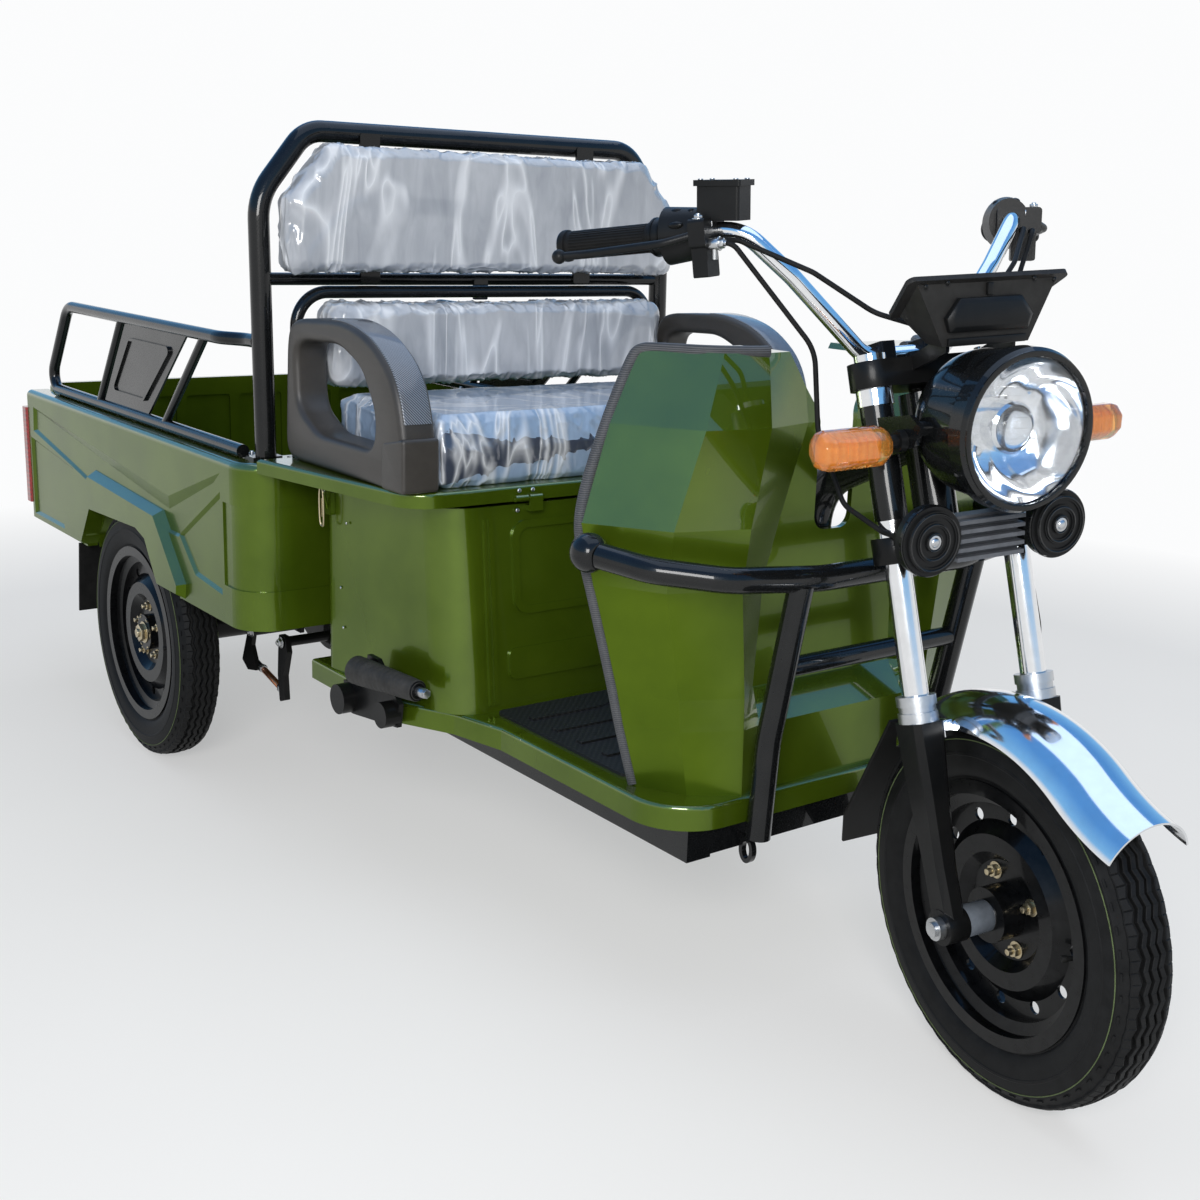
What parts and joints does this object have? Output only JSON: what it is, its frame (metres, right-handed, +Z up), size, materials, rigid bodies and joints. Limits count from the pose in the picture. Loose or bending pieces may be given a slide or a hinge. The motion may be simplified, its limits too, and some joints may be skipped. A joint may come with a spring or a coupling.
{
  "type": "electric cargo tricycle",
  "caption": "Electric cargo tricycle: steered front wheel, bench seat over a storage bucket, driven rear axle and an open load bed with side rails and a drop tailgate.",
  "frame": {"origin": "centre of the overall box at floor level, between the wheels", "axes": "+X forward along the length, +Y to the rider's left, +Z up"},
  "size_m": [2.5618, 0.96, 1.171],
  "materials": {
    "black_paint": "gloss black enamel",
    "green_paint": "gloss olive green enamel",
    "red_lens": "clear red moulding",
    "rubber": "matte moulded rubber",
    "tyre": "new road tyre",
    "chrome": "bright plating",
    "aluminium": "turned",
    "zinc_steel": "zinc plated",
    "black_plastic": "fine grain black moulding",
    "grey_plastic": "dark grey moulding",
    "wrapped_vinyl": "vinyl under a clear film",
    "amber_lens": "amber moulding",
    "clear_lens": "clear lamp glass"
  },
  "bodies": {
    "frame": {"chassis_frame": "black_paint", "cargo_bed": "green_paint", "side_rail_right": "black_paint", "side_rail_left": "black_paint", "tail_lamps": "red_lens", "rear_mudflaps": "rubber", "rear_axle": "black_paint", "leaf_springs": "black_paint", "seat_bucket": "green_paint", "floorboard": "green_paint", "floor_mat": "rubber", "leg_shield": "green_paint", "front_bumper": "black_paint", "foot_pegs": "black_paint", "brake_linkage": "green_paint", "backrest_hoop": "black_paint", "upper_back_pad": "wrapped_vinyl", "lower_back_frame": "black_paint", "lower_back_pad": "wrapped_vinyl"},
    "tailgate": {"tailgate": "green_paint"},
    "seat": {"seat_lid": "green_paint", "seat_cushion": "wrapped_vinyl", "armrest_right": "grey_plastic", "armrest_left": "grey_plastic"},
    "steering": {"fork_yokes": "black_paint", "fork_stanchions": "chrome", "fork_sleeves": "black_paint", "fork_collars": "aluminium", "fork_legs": "black_paint", "front_axle": "zinc_steel", "front_fender": "chrome", "front_mudflap": "rubber", "handlebar": "chrome", "grips": "rubber", "hand_controls": "black_plastic", "headlamp_shell": "black_plastic", "headlamp_reflector": "chrome", "headlamp_lens": "clear_lens", "indicator_stems": "black_plastic", "indicator_lenses": "amber_lens", "horns": "black_plastic", "finned_cover": "grey_plastic", "dash_housing": "black_plastic", "brake_hose": "rubber", "control_hoses": "rubber"},
    "front_wheel": {"front_tyre": "tyre", "front_rim": "black_paint"},
    "rear_wheel_right": {"rear_right_tyre": "tyre", "rear_right_rim": "black_paint"},
    "rear_wheel_left": {"rear_left_tyre": "tyre", "rear_left_rim": "black_paint"}
  },
  "joints": [
    {"name": "steering_turn", "type": "hinge", "parent": "frame", "child": "steering", "pos_m": [0.86449, 0, 0.71741], "axis": [-0.284, 0, 0.9588], "range_deg": [-28.5, 51.5]},
    {"name": "front_wheel_spin", "type": "hinge", "parent": "steering", "child": "front_wheel", "pos_m": [1.04527, -0.00755, 0.23778], "axis": [0.1912, 0.9799, 0.0566], "continuous": true},
    {"name": "rear_wheel_right_spin", "type": "hinge", "parent": "frame", "child": "rear_wheel_right", "pos_m": [-0.657, -0.425, 0.238], "axis": [0, 1, 0], "continuous": true},
    {"name": "rear_wheel_left_spin", "type": "hinge", "parent": "frame", "child": "rear_wheel_left", "pos_m": [-0.657, 0.425, 0.238], "axis": [0, 1, 0], "continuous": true},
    {"name": "tailgate_drop", "type": "hinge", "parent": "frame", "child": "tailgate", "pos_m": [-1.261, 0, 0.388], "axis": [0, -1, 0], "range_deg": [0, 170]},
    {"name": "seat_tip", "type": "hinge", "parent": "frame", "child": "seat", "pos_m": [0.257, 0, 0.63], "axis": [0, 1, 0], "range_deg": [0, 60]}
  ]
}
